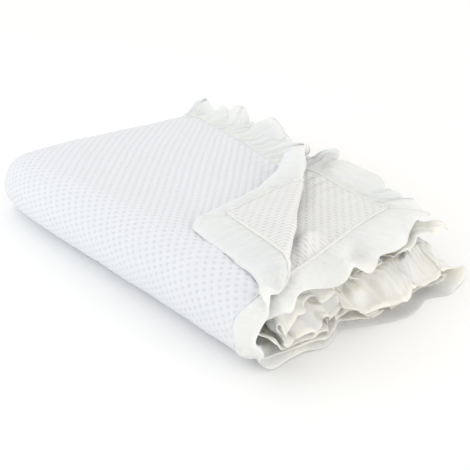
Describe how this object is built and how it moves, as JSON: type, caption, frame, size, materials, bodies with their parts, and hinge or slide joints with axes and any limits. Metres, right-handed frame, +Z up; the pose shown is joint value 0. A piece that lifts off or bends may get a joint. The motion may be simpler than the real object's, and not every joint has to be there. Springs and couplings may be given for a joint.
{
  "type": "bedspread",
  "caption": "Folded cotton bedspread with a dimpled weave and a gathered frill, lying in a low stack with one corner turned back.",
  "frame": {"origin": "bottom centre of the folded stack's box, on the surface that it lies on", "axes": "+X along the stack to its open, frilled end, +Y from the large round fold to the side with the free long edges, +Z up"},
  "size_m": [0.5765, 0.3949, 0.1318],
  "materials": {
    "dimpled_cotton": "soft white cotton with a staggered dimpled weave, matt",
    "plain_cotton": "plain smooth white cotton, matt"
  },
  "bodies": {
    "root": {"panel": "dimpled_cotton", "frill_foot": "plain_cotton", "frill_head": "plain_cotton", "frill_left": "plain_cotton", "frill_right": "plain_cotton"}
  },
  "joints": []
}
